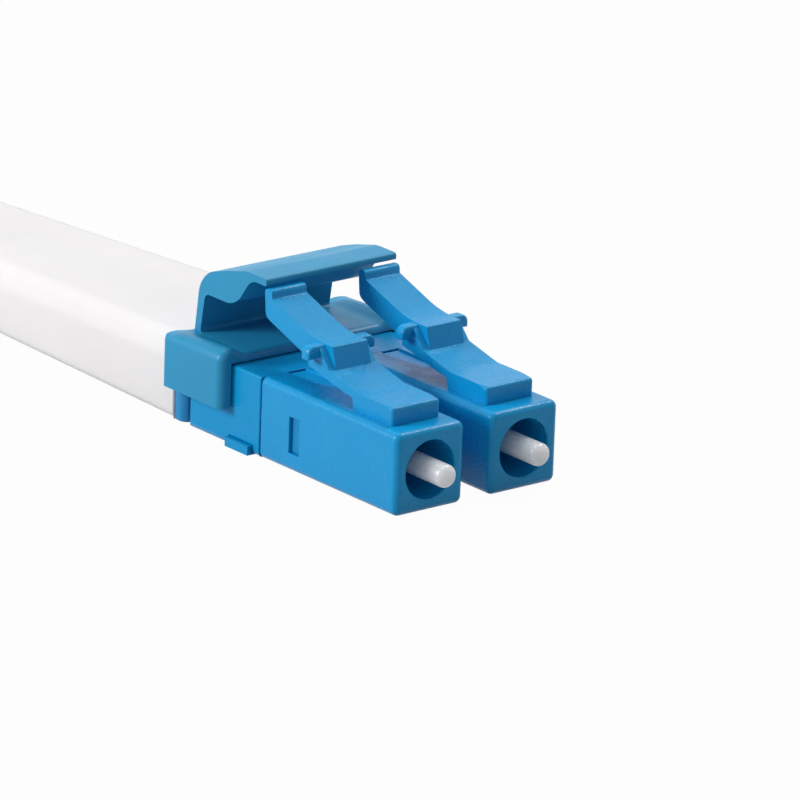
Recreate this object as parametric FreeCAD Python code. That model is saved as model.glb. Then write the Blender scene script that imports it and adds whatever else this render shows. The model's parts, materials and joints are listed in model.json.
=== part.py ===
import FreeCAD, Part
import math
import os

from FreeCAD import Vector

# Duplex uniboot LC fibre connector: two square plugs with white ferrules in one housing, a press
# latch on each plug, a snap-on trigger clip with a lever over both latches, and one flat boot.
#
# Millimetres.  X runs across the two plugs, +Y from the mating end to the boot, +Z up.
# While the pieces are made, y = 0 is the nose plane of the plugs and z = 0 the underside.
# At the end all pieces move along Y so that the origin is the middle of the underside.

# ---- Clearances ---------------------------------------------------------------------------
SLIP = 0.05             # between two moulded or turned pieces that are pushed together
FACE_GAP = 0.05         # between two faces that butt
FLEX_GAP = 0.08         # at a living hinge, between the part that stays and the part that bends
CLIP_FIT = 0.10         # between the trigger clip and the housing that it snaps over

# ---- Plugs --------------------------------------------------------------------------------
PITCH = 6.25            # between the axes of the two plugs
PLUG_W = 4.5            # side of the square shell
PLUG_LEN = 11.4
NOSE_EDGE_R = 0.35      # edges of the front face
LONG_EDGE_R = 0.15      # edges along the shell
NOSE_BORE_D = 3.2       # mouth round the ferrule, for the adapter's sleeve
NOSE_BORE_DEPTH = 3.4
SEAT_T = 0.8            # wall that the ferrule's flange seats on
SEAT_HOLE_D = 1.6
SPRING_BORE_D = 2.8
STOP_SINK = 4.0         # how far the spring stop goes into the shell
WINDOW_LEN = 0.85       # snap window in each side wall
WINDOW_H = 2.0
WINDOW_Z = 2.0          # middle of the window
WINDOW_BACK = 2.4       # from the window to the back of the shell
CHANNEL_W = 1.2         # relief in the top, under the latch
CHANNEL_DEPTH = 0.25
CHANNEL_LEN = 3.9

# ---- Ferrules and springs -----------------------------------------------------------------
FERRULE_D = 1.25
FERRULE_LEN = 6.5
FERRULE_OUT = 1.5       # how far the tip stands out of the nose
FERRULE_TIP_LEN = 0.18  # chamfer round the tip
FERRULE_TIP_IN = 0.14
FERRULE_FREE_LEN = 5.0  # from the tip to the shoulder of the held end
FERRULE_ROOT_D = 0.9    # held end, in the flange
CAPILLARY_D = 0.126     # hole for the bare fibre
FUNNEL_D = 0.5          # lead-in at the back of the ferrule
FUNNEL_LEN = 0.4
FLANGE_D = 2.3
FLANGE_T = 1.2
FLANGE_NOTCH_W = 0.5    # four tuning notches in the rim
FLANGE_NOTCH_DEPTH = 0.25
HUB_D = 1.6             # barrel of the flange, inside the spring
HUB_LEN = 1.2
TUBE_D = 1.2            # guide tube pushed into the barrel
TUBE_BORE_D = 0.95
TUBE_LEN = 5.0
SPRING_WIRE_D = 0.3
SPRING_WIRE_SIDES = 4   # flats of the wire's section, which keep the coil light
SPRING_MEAN_D = 2.05
SPRING_TURNS = 5
FERRULE_TRAVEL = 1.8    # how far a ferrule can be pushed back

# ---- Spring stops -------------------------------------------------------------------------
STOP_D = 3.3
STOP_NECK_D = 2.6       # where it passes through the housing's front wall
STOP_BORE_D = 2.6       # the spring goes in here
STOP_FLOOR = 3.3        # from the stop's front to the face that the spring rests on
STOP_HOLE_D = 1.5       # way through for the guide tube
SNAP_OUT = 0.4          # how far the stop's two snaps stand out of it
COLLAR_D = 3.3          # collar held behind the housing's front wall
COLLAR_T = 0.7
STOP_TAIL_D = 2.4
STOP_TAIL_LEN = 1.6

# ---- Latches ------------------------------------------------------------------------------
ROOT_FRONT = 1.3        # from the nose plane to the latch root
ROOT_W = 3.1
ROOT_H = 0.98           # above the shell
ROOT_FLAT_LEN = 3.0     # level stretch before the arm starts to climb
ROOT_EDGE_R = 0.3
ROOT_BLEND_R = 1.0      # between the level stretch and the thin one
FLEX_Y = 5.2            # the living hinge of the latch
FLEX_T = 0.5            # thickness there
FLEX_RISE = 0.2         # top of the latch there, above the level stretch
FLEX_SLOPE = 0.23       # slope of the thin stretch
CROTCH_Y = 4.6          # where the arm leaves the shell
CROTCH_R = 0.25
CROTCH_LEAN = 0.1       # half of how far the crotch's wall leans back over its height
STEP_Y = 6.6            # foot of the step up to the thick arm
STEP_RISE = 0.62
STEP_RUN = 0.35
STEP_R = 0.08
ARM_W = 2.3
ARM_T = 1.2
ARM_SLOPE = 0.34
TAIL_Y = 12.78          # end of the arm
TAIL_R = 0.4
TAIL_LEAN = 0.15        # how far the end face leans forward over its height
BEAD_LEN = 0.6          # ridge at the end of the arm, which the lever presses
BEAD_H = 0.45
BEAD_R = 0.22
BEAD_LEAN = 0.05
LUG_OUT = 0.47          # side lugs that catch in the adapter
LUG_BACK = 8.5
LUG_LEN = 0.45
LUG_TOP_Z = 7.0
LUG_R = 0.15
RAIL_RISE = 0.2         # how far the rail in front of a lug climbs from the step's foot
WEB_T = 0.2             # ramp between a lug and the arm's flank
WEB_FOOT = 1.05         # from the lug's front to the ramp's foot
WEB_FOOT_R = 0.6
WEB_TOP_R = 0.2

# ---- Housing ------------------------------------------------------------------------------
HOUSING_LEN = 5.95
HOUSING_SINK = 0.05     # how far the housing's top lies below the plugs' top
HOUSING_END_T = 0.8     # front and back walls
HOUSING_SIDE_T = 0.5
HOUSING_ROOF = 0.5
HOUSING_EDGE_R = 0.35   # long edges of the underside
BOTTOM_T = 0.8          # snap-in bottom plate
BOTTOM_TONGUE_T = 0.5   # its tongues, which close the slots in the end walls
LUG_PLATE_OUT = 0.3     # its snap lugs beyond the housing's sides
LUG_PLATE_FROM = 0.6    # from the housing's front
LUG_PLATE_LEN = 1.95
LUG_PLATE_T = 0.5
SADDLE_T = 0.8          # saddles that hold the tails of the stops

# ---- Crimp parts --------------------------------------------------------------------------
CABLE_Z = 1.95          # height of the cable's axis
CRIMP_FLANGE_W = 6.0
CRIMP_FLANGE_H = 2.1
CRIMP_FLANGE_T = 0.8
CRIMP_FLANGE_R = 0.3
CRIMP_D = 2.5
CRIMP_BORE_D = 1.6
CRIMP_LEN = 8.5         # behind the housing
CRIMP_GROOVES = 3
CRIMP_GROOVE_W = 0.4
CRIMP_GROOVE_DEPTH = 0.12
SLEEVE_T = 0.25
SLEEVE_LEN = 4.6

# ---- Collar between the housing and the boot ----------------------------------------------
RING_GAP = 0.55         # groove between the housing and the collar's rim
RING_T = 1.4
RING_INSET = 0.28       # each side lies this far inside the housing's side
RING_HUB_D = 3.7

# ---- Boot ---------------------------------------------------------------------------------
BOOT_W = 10.7
BOOT_H = 4.5
BOOT_MID_LEN = 28.5     # length of the flat stretch
BOOT_MID_W = 8.6        # width and height at its end
BOOT_MID_H = 3.46
BOOT_TOP_R = 1.3
BOOT_LOW_R = 0.5
BOOT_TAIL_LEN = 9.0     # from there to the end
BOOT_TAIL_W = 4.4
BOOT_TAIL_H = 3.1
CABLE_HOLE_D = 2.1

# ---- Trigger clip and lever ---------------------------------------------------------------
CLIP_SETBACK = 2.4      # from the housing's front to the clip
CLIP_LEN = 5.1
FLAP_T = 0.7
FLAP_LOW = 2.1          # underside of the side flaps
FLAP_FRONT_R = 0.3
FLAP_LOW_R = 0.12
SHOULDER_R = 0.7
SHOULDER_IN_R = 0.15
RIDGE_H = 0.75          # ridge above the deck's underside
RIDGE_X = 5.3
RIDGE_R = 0.15
DECK_T = 0.4
DECK_EDGE_X = 4.7       # where the deck's slope up to the ridge starts
DECK_SWEEP_R = 0.5      # between the deck and that slope
LEVER_W = 8.7
LEVER_GAP = 0.12        # between the lever and the latches at rest
LEVER_COVER = 0.21      # how far the lever reaches over the latch ends
LEVER_PLATE_T = 0.5
LEVER_PLATE_LEN = 1.3   # level stretch of the plate's underside
LEVER_FRONT_R = 0.12
RISER_T = 0.48
RISER_SETBACK = 0.4     # from the riser's back face to the clip's back
RISER_SLOPE = 0.155     # how far the riser leans forward per unit of height
RISER_ROOT_R = 0.85     # hollow between the deck and the riser
RISER_FOOT_H = 1.05     # from the deck to the living hinge
LEVER_EDGE_C = 0.1      # chamfer round the lever's two sides
PAD_Z = 7.2             # underside of the lever's thick pad
PAD_FROM = 2.6          # from the lever's front to the pad
PAD_FRONT_R = 0.5
PAD_BACK_R = 0.4
PAD_BLEND_R = 0.6       # between the plate's underside and the pad's front
LEVER_CREST = 1.85      # from the lever's front to where its top starts to fall
LEVER_CREST_R = 2.0
LEVER_BEND_DROP = 1.4   # how far the top falls before the riser
LEVER_BEND_R = 1.3

# ---- Stations worked out from the sizes above -----------------------------------------------
AXIS_Z = PLUG_W / 2
SEAT_BACK = NOSE_BORE_DEPTH + SEAT_T
FERRULE_BACK = FERRULE_LEN - FERRULE_OUT
FLANGE_BACK = SEAT_BACK + FLANGE_T
HUB_BACK = FLANGE_BACK + HUB_LEN
TUBE_FRONT = FERRULE_BACK + FACE_GAP
STOP_FRONT = PLUG_LEN - STOP_SINK
SPRING_BACK = STOP_FRONT + STOP_FLOOR
WINDOW_FRONT = PLUG_LEN - WINDOW_BACK - WINDOW_LEN
HOUSING_FRONT = PLUG_LEN + 2 * FACE_GAP
HOUSING_BACK = HOUSING_FRONT + HOUSING_LEN
HOUSING_TOP = PLUG_W - HOUSING_SINK
HOUSING_X = (PITCH + PLUG_W) / 2
CAVITY_FRONT = HOUSING_FRONT + HOUSING_END_T
CAVITY_BACK = HOUSING_BACK - HOUSING_END_T
CAVITY_X = HOUSING_X - HOUSING_SIDE_T
COLLAR_FRONT = CAVITY_FRONT + FACE_GAP
COLLAR_BACK = COLLAR_FRONT + COLLAR_T
STOP_BACK = COLLAR_BACK + STOP_TAIL_LEN
CRIMP_BACK = HOUSING_BACK + CRIMP_LEN
RING_FRONT = HOUSING_BACK + RING_GAP
RING_BACK = RING_FRONT + RING_T
BOOT_FRONT = RING_BACK + FACE_GAP
BOOT_MID = BOOT_FRONT + BOOT_MID_LEN
BOOT_BACK = BOOT_MID + BOOT_TAIL_LEN
SLEEVE_D = CRIMP_D + 2 * SLIP + 2 * SLEEVE_T
CLIP_FRONT = HOUSING_FRONT + CLIP_SETBACK
CLIP_BACK = CLIP_FRONT + CLIP_LEN
CLIP_IN_X = HOUSING_X + CLIP_FIT
CLIP_OUT_X = CLIP_IN_X + FLAP_T
DECK_LOW = HOUSING_TOP + CLIP_FIT
DECK_TOP = DECK_LOW + DECK_T
RIDGE_Z = DECK_LOW + RIDGE_H
RISER_BACK = CLIP_BACK - RISER_SETBACK
RISER_FLEX_Z = DECK_TOP + RISER_FOOT_H
ROOT_TOP = PLUG_W + ROOT_H
ARM_TOP_Y = STEP_Y + STEP_RUN
FULL_LEN = FERRULE_OUT + BOOT_BACK
SHIFT_Y = FERRULE_OUT - FULL_LEN / 2


# ---- Drawing helpers ----------------------------------------------------------------------
def rounded_wire(corners, place):
    """Closed wire through corners (a, b) or (a, b, radius); place(a, b) gives the point in space."""
    count = len(corners)
    starts = []
    ends = []
    mids = []
    for i in range(count):
        here = corners[i]
        before = corners[i - 1]
        after = corners[(i + 1) % count]
        radius = here[2] if len(here) > 2 else 0.0
        to_before = Vector(before[0] - here[0], before[1] - here[1], 0).normalize()
        to_after = Vector(after[0] - here[0], after[1] - here[1], 0).normalize()
        point = Vector(here[0], here[1], 0)
        if radius == 0.0:
            starts.append(point)
            ends.append(point)
            mids.append(None)
            continue
        half = to_before.getAngle(to_after) / 2
        back = radius / math.tan(half)
        towards = (to_before + to_after).normalize()
        starts.append(point + to_before * back)
        ends.append(point + to_after * back)
        mids.append(point + towards * (radius / math.sin(half) - radius))
    edges = []
    for i in range(count):
        if mids[i] is not None:
            three = [place(p.x, p.y) for p in (starts[i], mids[i], ends[i])]
            edges.append(Part.Arc(*three).toShape())
        a = place(ends[i].x, ends[i].y)
        b = place(starts[(i + 1) % count].x, starts[(i + 1) % count].y)
        if a.distanceToPoint(b) > 1e-6:
            edges.append(Part.LineSegment(a, b).toShape())
    return Part.Wire(edges)


def side_profile(corners, x_from, x_to):
    """Solid whose outline is given in the YZ plane, running along X."""
    face = Part.Face(rounded_wire(corners, lambda y, z: Vector(x_from, y, z)))
    return face.extrude(Vector(x_to - x_from, 0, 0))


def end_profile(corners, y_from, y_to):
    """Solid whose outline is given in the XZ plane, running along Y."""
    face = Part.Face(rounded_wire(corners, lambda x, z: Vector(x, y_from, z)))
    return face.extrude(Vector(0, y_to - y_from, 0))


def block(x_from, x_to, y_from, y_to, z_from, z_to):
    return Part.makeBox(x_to - x_from, y_to - y_from, z_to - z_from, Vector(x_from, y_from, z_from))


def rod(x, z, diameter, y_from, y_to):
    """Cylinder along Y."""
    return Part.makeCylinder(diameter / 2, y_to - y_from, Vector(x, y_from, z), Vector(0, 1, 0))


def slot_below(x, z, width, y_from, y_to):
    """Cutter for a slot with a round top at height z, open through the underside."""
    return rod(x, z, width, y_from, y_to).fuse(
        block(x - width / 2, x + width / 2, y_from, y_to, -1.0, z))


def edges_where(shape, test):
    """Edges of a shape whose two ends and middle all pass the test."""
    picked = []
    for edge in shape.Edges:
        middle = edge.valueAt((edge.FirstParameter + edge.LastParameter) / 2)
        if all(test(p) for p in [v.Point for v in edge.Vertexes] + [middle]):
            picked.append(edge)
    return picked


def near(a, b):
    return abs(a - b) < 1e-4


def solid_of(shape):
    """The single solid of a boolean's result, with split faces joined."""
    clean = shape.removeSplitter()
    return clean.Solids[0]


def save(name, shape):
    moved = shape.copy()
    moved.translate(Vector(0, SHIFT_Y, 0))
    if not moved.isValid():
        raise ValueError("invalid solid: " + name)
    moved.exportStep(os.path.join("parts", name + ".step"))


# ---- Plugs --------------------------------------------------------------------------------
def flex_z(y):
    """Height of the middle of the latch's thin stretch."""
    return ROOT_TOP + FLEX_RISE - FLEX_T / 2 + FLEX_SLOPE * (y - FLEX_Y)


def latch_root(x):
    """Block on top of the shell that carries the latch, up to the living hinge."""
    y = FLEX_Y - FLEX_GAP / 2
    corners = [
        (ROOT_FRONT, PLUG_W - LONG_EDGE_R),
        (ROOT_FRONT, ROOT_TOP, ROOT_EDGE_R),
        (ROOT_FRONT + ROOT_FLAT_LEN, ROOT_TOP, ROOT_BLEND_R),
        (y, flex_z(y) + FLEX_T / 2),
        (y, flex_z(y) - FLEX_T / 2),
        (CROTCH_Y + CROTCH_LEAN, flex_z(y) - FLEX_T / 2, CROTCH_R),
        (CROTCH_Y - CROTCH_LEAN, PLUG_W - LONG_EDGE_R),
    ]
    return side_profile(corners, x - ROOT_W / 2, x + ROOT_W / 2)


def plug_shell(x):
    half = PLUG_W / 2
    shell = block(x - half, x + half, 0, PLUG_LEN, 0, PLUG_W)
    nose = edges_where(shell, lambda p: near(p.y, 0))
    shell = shell.makeFillet(NOSE_EDGE_R, nose)
    along = edges_where(shell, lambda p: near(abs(p.x - x), half) and near(abs(p.z - AXIS_Z), half))
    shell = shell.makeFillet(LONG_EDGE_R, along)
    shell = shell.fuse(latch_root(x))
    seat_front = NOSE_BORE_DEPTH
    cutters = [
        rod(x, AXIS_Z, NOSE_BORE_D, -1, seat_front),
        rod(x, AXIS_Z, SEAT_HOLE_D, seat_front, SEAT_BACK),
        rod(x, AXIS_Z, SPRING_BORE_D, SEAT_BACK, STOP_FRONT),
        rod(x, AXIS_Z, STOP_D + 2 * SLIP, STOP_FRONT - FACE_GAP, PLUG_LEN + 1),
        block(x - half - 1, x + half + 1, WINDOW_FRONT, WINDOW_FRONT + WINDOW_LEN,
              WINDOW_Z - WINDOW_H / 2, WINDOW_Z + WINDOW_H / 2),
        block(x - CHANNEL_W / 2, x + CHANNEL_W / 2, PLUG_LEN - CHANNEL_LEN, PLUG_LEN + 1,
              PLUG_W - CHANNEL_DEPTH, PLUG_W + 1),
    ]
    for cutter in cutters:
        shell = shell.cut(cutter)
    return solid_of(shell)


def arm_top(y):
    """Height of the top of the latch's thick stretch."""
    return flex_z(STEP_Y) + FLEX_T / 2 + STEP_RISE + ARM_SLOPE * (y - ARM_TOP_Y)


def bead_top():
    return arm_top(TAIL_Y - BEAD_LEN) + BEAD_H


def latch_arm(x):
    y = FLEX_Y + FLEX_GAP / 2
    rise = math.hypot(1, ARM_SLOPE) * ARM_T
    bead_front = TAIL_Y - BEAD_LEN
    tail_low = arm_top(TAIL_Y) - rise
    under = [
        (y, flex_z(y) - FLEX_T / 2),
        (LUG_BACK, arm_top(LUG_BACK) - rise),
    ]
    arm = side_profile(under + [
        (TAIL_Y - TAIL_LEAN, tail_low, TAIL_R),
        (TAIL_Y, bead_top(), BEAD_R),
        (bead_front, bead_top(), BEAD_R),
        (bead_front - BEAD_LEAN, arm_top(bead_front)),
        (ARM_TOP_Y, arm_top(ARM_TOP_Y), STEP_R),
        (STEP_Y, flex_z(STEP_Y) + FLEX_T / 2, STEP_R),
        (y, flex_z(y) + FLEX_T / 2),
    ], x - ARM_W / 2, x + ARM_W / 2)
    foot = flex_z(STEP_Y) + FLEX_T / 2
    front = LUG_BACK - LUG_LEN
    thin_top = [
        (STEP_Y, foot),
        (y, flex_z(y) + FLEX_T / 2),
    ]
    lug = under + [
        (LUG_BACK, LUG_TOP_Z, LUG_R),
        (front, LUG_TOP_Z, LUG_R),
        (front, foot + RAIL_RISE),
    ] + thin_top
    web = under + [
        (LUG_BACK, LUG_TOP_Z, LUG_R),
        (front, LUG_TOP_Z, WEB_TOP_R),
        (front - WEB_FOOT, foot, WEB_FOOT_R),
    ] + thin_top
    side = ARM_W / 2
    for profile, out in ((lug, LUG_OUT), (web, WEB_T)):
        arm = arm.fuse(side_profile(profile, x - side - out, x - side))
        arm = arm.fuse(side_profile(profile, x + side, x + side + out))
    return solid_of(arm)


# ---- Ferrules, flanges, tubes and springs -------------------------------------------------
def ferrule(x):
    tip = -FERRULE_OUT
    side = tip + FERRULE_TIP_LEN
    shoulder = tip + FERRULE_FREE_LEN
    body = rod(x, AXIS_Z, FERRULE_D, side, shoulder)
    body = body.fuse(Part.makeCone(FERRULE_D / 2 - FERRULE_TIP_IN, FERRULE_D / 2, FERRULE_TIP_LEN,
                                   Vector(x, tip, AXIS_Z), Vector(0, 1, 0)))
    body = body.fuse(rod(x, AXIS_Z, FERRULE_ROOT_D, shoulder, FERRULE_BACK))
    body = body.cut(rod(x, AXIS_Z, CAPILLARY_D, tip - 1, FERRULE_BACK))
    body = body.cut(Part.makeCone(CAPILLARY_D / 2, FUNNEL_D / 2, FUNNEL_LEN,
                                  Vector(x, FERRULE_BACK - FUNNEL_LEN, AXIS_Z), Vector(0, 1, 0)))
    return solid_of(body)


def ferrule_flange(x):
    flange = rod(x, AXIS_Z, FLANGE_D, SEAT_BACK, FLANGE_BACK)
    flange = flange.fuse(rod(x, AXIS_Z, HUB_D, FLANGE_BACK, HUB_BACK))
    flange = flange.cut(rod(x, AXIS_Z, FERRULE_ROOT_D, SEAT_BACK - 1, FERRULE_BACK))
    flange = flange.cut(rod(x, AXIS_Z, TUBE_D, FERRULE_BACK, HUB_BACK + 1))
    centre = Vector(x, 0, AXIS_Z)
    for quarter in range(4):
        notch = block(x + FLANGE_D / 2 - FLANGE_NOTCH_DEPTH, x + FLANGE_D, SEAT_BACK - 1, FLANGE_BACK,
                      AXIS_Z - FLANGE_NOTCH_W / 2, AXIS_Z + FLANGE_NOTCH_W / 2)
        notch.rotate(centre, Vector(0, 1, 0), 45 + 90 * quarter)
        flange = flange.cut(notch)
    return solid_of(flange)


def guide_tube(x):
    tube = rod(x, AXIS_Z, TUBE_D, TUBE_FRONT, TUBE_FRONT + TUBE_LEN)
    return tube.cut(rod(x, AXIS_Z, TUBE_BORE_D, TUBE_FRONT - 1, TUBE_FRONT + TUBE_LEN + 1))


def ferrule_spring(x):
    """Helical spring between the flange and the floor of the stop."""
    front = FLANGE_BACK + SPRING_WIRE_D / 2 + FACE_GAP / 2
    back = SPRING_BACK - SPRING_WIRE_D / 2 - FACE_GAP / 2
    length = back - front
    helix = Part.makeHelix(length / SPRING_TURNS, length, SPRING_MEAN_D / 2)
    ring = []
    for i in range(SPRING_WIRE_SIDES + 1):
        turn = 2 * math.pi * i / SPRING_WIRE_SIDES
        across = SPRING_MEAN_D / 2 + SPRING_WIRE_D / 2 * math.cos(turn)
        ring.append(Vector(across, 0, SPRING_WIRE_D / 2 * math.sin(turn)))
    coil = Part.Wire(helix).makePipeShell([Part.makePolygon(ring)], True, True)
    coil.rotate(Vector(0, 0, 0), Vector(1, 0, 0), -90)
    coil.translate(Vector(x, front, AXIS_Z))
    return coil


def spring_stop(x):
    stop = rod(x, AXIS_Z, STOP_D, STOP_FRONT, PLUG_LEN)
    stop = stop.fuse(rod(x, AXIS_Z, STOP_NECK_D, PLUG_LEN, COLLAR_FRONT))
    stop = stop.fuse(rod(x, AXIS_Z, COLLAR_D, COLLAR_FRONT, COLLAR_BACK))
    stop = stop.fuse(rod(x, AXIS_Z, STOP_TAIL_D, COLLAR_BACK, STOP_BACK))
    snap = block(x - STOP_D / 2 - SNAP_OUT, x + STOP_D / 2 + SNAP_OUT,
                 WINDOW_FRONT + SLIP, WINDOW_FRONT + WINDOW_LEN - SLIP,
                 WINDOW_Z - WINDOW_H / 2 + SLIP, WINDOW_Z + WINDOW_H / 2 - SLIP)
    stop = stop.fuse(snap)
    stop = stop.cut(rod(x, AXIS_Z, STOP_BORE_D, STOP_FRONT - 1, SPRING_BACK))
    stop = stop.cut(rod(x, AXIS_Z, STOP_HOLE_D, SPRING_BACK, STOP_BACK + 1))
    return solid_of(stop)


# ---- Housing ------------------------------------------------------------------------------
def plug_axes():
    return (-PITCH / 2, PITCH / 2)


def lug_notch(side, gap):
    """Space of one snap lug of the bottom plate, grown by a gap."""
    outer = HOUSING_X + LUG_PLATE_OUT
    y = HOUSING_FRONT + LUG_PLATE_FROM
    lug = block(CAVITY_X - HOUSING_SIDE_T, outer, y - gap, y + LUG_PLATE_LEN + gap, 0, LUG_PLATE_T + gap)
    if side < 0:
        lug = lug.mirror(Vector(0, 0, 0), Vector(1, 0, 0))
    return lug


def housing_body():
    body = block(-HOUSING_X, HOUSING_X, HOUSING_FRONT, HOUSING_BACK, 0, HOUSING_TOP)
    low = edges_where(body, lambda p: near(abs(p.x), HOUSING_X) and near(p.z, 0))
    body = body.makeFillet(HOUSING_EDGE_R, low)
    top = edges_where(body, lambda p: near(abs(p.x), HOUSING_X) and near(p.z, HOUSING_TOP))
    body = body.makeFillet(LONG_EDGE_R, top)
    body = body.cut(block(-CAVITY_X, CAVITY_X, CAVITY_FRONT, CAVITY_BACK, -1, HOUSING_TOP - HOUSING_ROOF))
    for x in plug_axes():
        body = body.cut(slot_below(x, AXIS_Z, STOP_NECK_D + 2 * SLIP, HOUSING_FRONT - 1, CAVITY_FRONT))
    body = body.cut(slot_below(0, CABLE_Z, CRIMP_D + 2 * SLIP, CAVITY_BACK, HOUSING_BACK + 1))
    for side in (-1, 1):
        body = body.cut(lug_notch(side, SLIP))
    return solid_of(body)


def housing_bottom():
    inner = CAVITY_X - SLIP
    front = CAVITY_FRONT + SLIP
    back = CAVITY_BACK - SLIP
    plate = block(-inner, inner, front, back, 0, BOTTOM_T)
    for x in plug_axes():
        half = STOP_NECK_D / 2
        plate = plate.fuse(block(x - half, x + half, HOUSING_FRONT, front, 0, BOTTOM_TONGUE_T))
    half = CRIMP_D / 2
    plate = plate.fuse(block(-half, half, back, HOUSING_BACK, 0, BOTTOM_TONGUE_T))
    saddle_front = COLLAR_BACK + FACE_GAP
    saddle = block(-inner, inner, saddle_front, saddle_front + SADDLE_T, 0, AXIS_Z)
    plate = plate.fuse(saddle)
    for x in plug_axes():
        plate = plate.cut(rod(x, AXIS_Z, STOP_TAIL_D + 2 * SLIP, saddle_front - 1, saddle_front + SADDLE_T + 1))
        plate = plate.cut(rod(x, AXIS_Z, COLLAR_D + 2 * SLIP, front - 1, saddle_front))
    for side in (-1, 1):
        plate = plate.fuse(lug_notch(side, 0))
    return solid_of(plate)


# ---- Crimp parts, collar and boot -----------------------------------------------------------
def crimp_body():
    """Turned post with a flat flange held in the housing and a grooved tail for the crimp."""
    back = CAVITY_BACK - FACE_GAP
    body = block(-CRIMP_FLANGE_W / 2, CRIMP_FLANGE_W / 2, back - CRIMP_FLANGE_T, back,
                 CABLE_Z - CRIMP_FLANGE_H / 2, CABLE_Z + CRIMP_FLANGE_H / 2)
    upright = edges_where(body, lambda p: near(abs(p.x), CRIMP_FLANGE_W / 2)
                          and near(abs(p.z - CABLE_Z), CRIMP_FLANGE_H / 2))
    body = body.makeFillet(CRIMP_FLANGE_R, upright)
    body = body.fuse(rod(0, CABLE_Z, CRIMP_D, back, CRIMP_BACK))
    body = body.cut(rod(0, CABLE_Z, CRIMP_BORE_D, back - CRIMP_FLANGE_T - 1, CRIMP_BACK + 1))
    for i in range(CRIMP_GROOVES):
        y = CRIMP_BACK - (2 * i + 2) * CRIMP_GROOVE_W
        ring = rod(0, CABLE_Z, CRIMP_D + 1, y, y + CRIMP_GROOVE_W)
        ring = ring.cut(rod(0, CABLE_Z, CRIMP_D - 2 * CRIMP_GROOVE_DEPTH, y, y + CRIMP_GROOVE_W))
        body = body.cut(ring)
    return solid_of(body)


def crimp_sleeve():
    front = CRIMP_BACK - SLEEVE_LEN
    sleeve = rod(0, CABLE_Z, SLEEVE_D, front, CRIMP_BACK)
    return sleeve.cut(rod(0, CABLE_Z, CRIMP_D + 2 * SLIP, front - 1, CRIMP_BACK + 1))


def rear_collar():
    """Moulded ring between the housing and the boot, with a half-round rim."""
    x = HOUSING_X - RING_INSET
    ring = block(-x, x, RING_FRONT, RING_BACK, 0, HOUSING_TOP)
    upright = [e for e in ring.Edges if near(e.Vertexes[0].Point.x, e.Vertexes[1].Point.x)
               and near(e.Vertexes[0].Point.y, e.Vertexes[1].Point.y)]
    ring = ring.makeFillet(RING_T / 2 - 0.02, upright)
    ring = ring.fuse(rod(0, CABLE_Z, RING_HUB_D, HOUSING_BACK + FACE_GAP, RING_FRONT))
    ring = ring.cut(rod(0, CABLE_Z, CRIMP_D + 2 * SLIP, HOUSING_BACK - 1, RING_BACK + 1))
    return solid_of(ring)


def boot_section(width, height, top_r, low_r, y, low=0.0):
    half = width / 2
    corners = [
        (-half, low, low_r),
        (half, low, low_r),
        (half, low + height, top_r),
        (-half, low + height, top_r),
    ]
    return rounded_wire(corners, lambda a, b: Vector(a, y, b))


def boot():
    tail_low = CABLE_Z - BOOT_TAIL_H / 2
    front = boot_section(BOOT_W, BOOT_H, BOOT_TOP_R, BOOT_LOW_R, BOOT_FRONT)
    middle = boot_section(BOOT_MID_W, BOOT_MID_H, BOOT_TOP_R, BOOT_LOW_R, BOOT_MID)
    tail = boot_section(BOOT_TAIL_W, BOOT_TAIL_H, BOOT_TOP_R, BOOT_LOW_R, BOOT_BACK, tail_low)
    body = Part.makeLoft([front, middle], True, True)
    body = body.fuse(Part.makeLoft([middle, tail], True, True))
    body = body.cut(rod(0, CABLE_Z, SLEEVE_D + 2 * SLIP, BOOT_FRONT - 1, CRIMP_BACK + FACE_GAP))
    body = body.cut(rod(0, CABLE_Z, CABLE_HOLE_D, CRIMP_BACK, BOOT_BACK + 1))
    return solid_of(body)


# ---- Trigger clip and lever ---------------------------------------------------------------
def riser_y(z):
    """Position of the riser's back face at a height."""
    return RISER_BACK - RISER_SLOPE * (z - DECK_TOP)


def trigger_clip():
    """Saddle over the housing with a side flap each way and the foot of the lever."""
    right = [
        (CLIP_IN_X, DECK_LOW, SHOULDER_IN_R),
        (CLIP_IN_X, FLAP_LOW),
        (CLIP_OUT_X, FLAP_LOW, FLAP_LOW_R),
        (CLIP_OUT_X, RIDGE_Z, SHOULDER_R),
        (RIDGE_X, RIDGE_Z, RIDGE_R),
        (DECK_EDGE_X, DECK_TOP, DECK_SWEEP_R),
    ]
    left = [(-c[0],) + c[1:] for c in reversed(right)]
    clip = end_profile(right + left, CLIP_FRONT, CLIP_BACK)
    flap_front = edges_where(clip, lambda p: near(p.y, CLIP_FRONT) and near(abs(p.x), CLIP_OUT_X))
    clip = clip.makeFillet(FLAP_FRONT_R, flap_front)
    top = RISER_FLEX_Z - FLEX_GAP / 2
    root_y = riser_y(DECK_TOP) - RISER_T
    foot = [
        (root_y - 2 * RISER_ROOT_R, DECK_LOW + DECK_T / 2),
        (root_y - 2 * RISER_ROOT_R, DECK_TOP),
        (root_y, DECK_TOP, RISER_ROOT_R),
        (riser_y(top) - RISER_T, top),
        (riser_y(top), top),
        (RISER_BACK, DECK_TOP),
        (RISER_BACK, DECK_LOW + DECK_T / 2),
    ]
    clip = clip.fuse(side_profile(foot, -LEVER_W / 2, LEVER_W / 2))
    return solid_of(clip)


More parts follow.
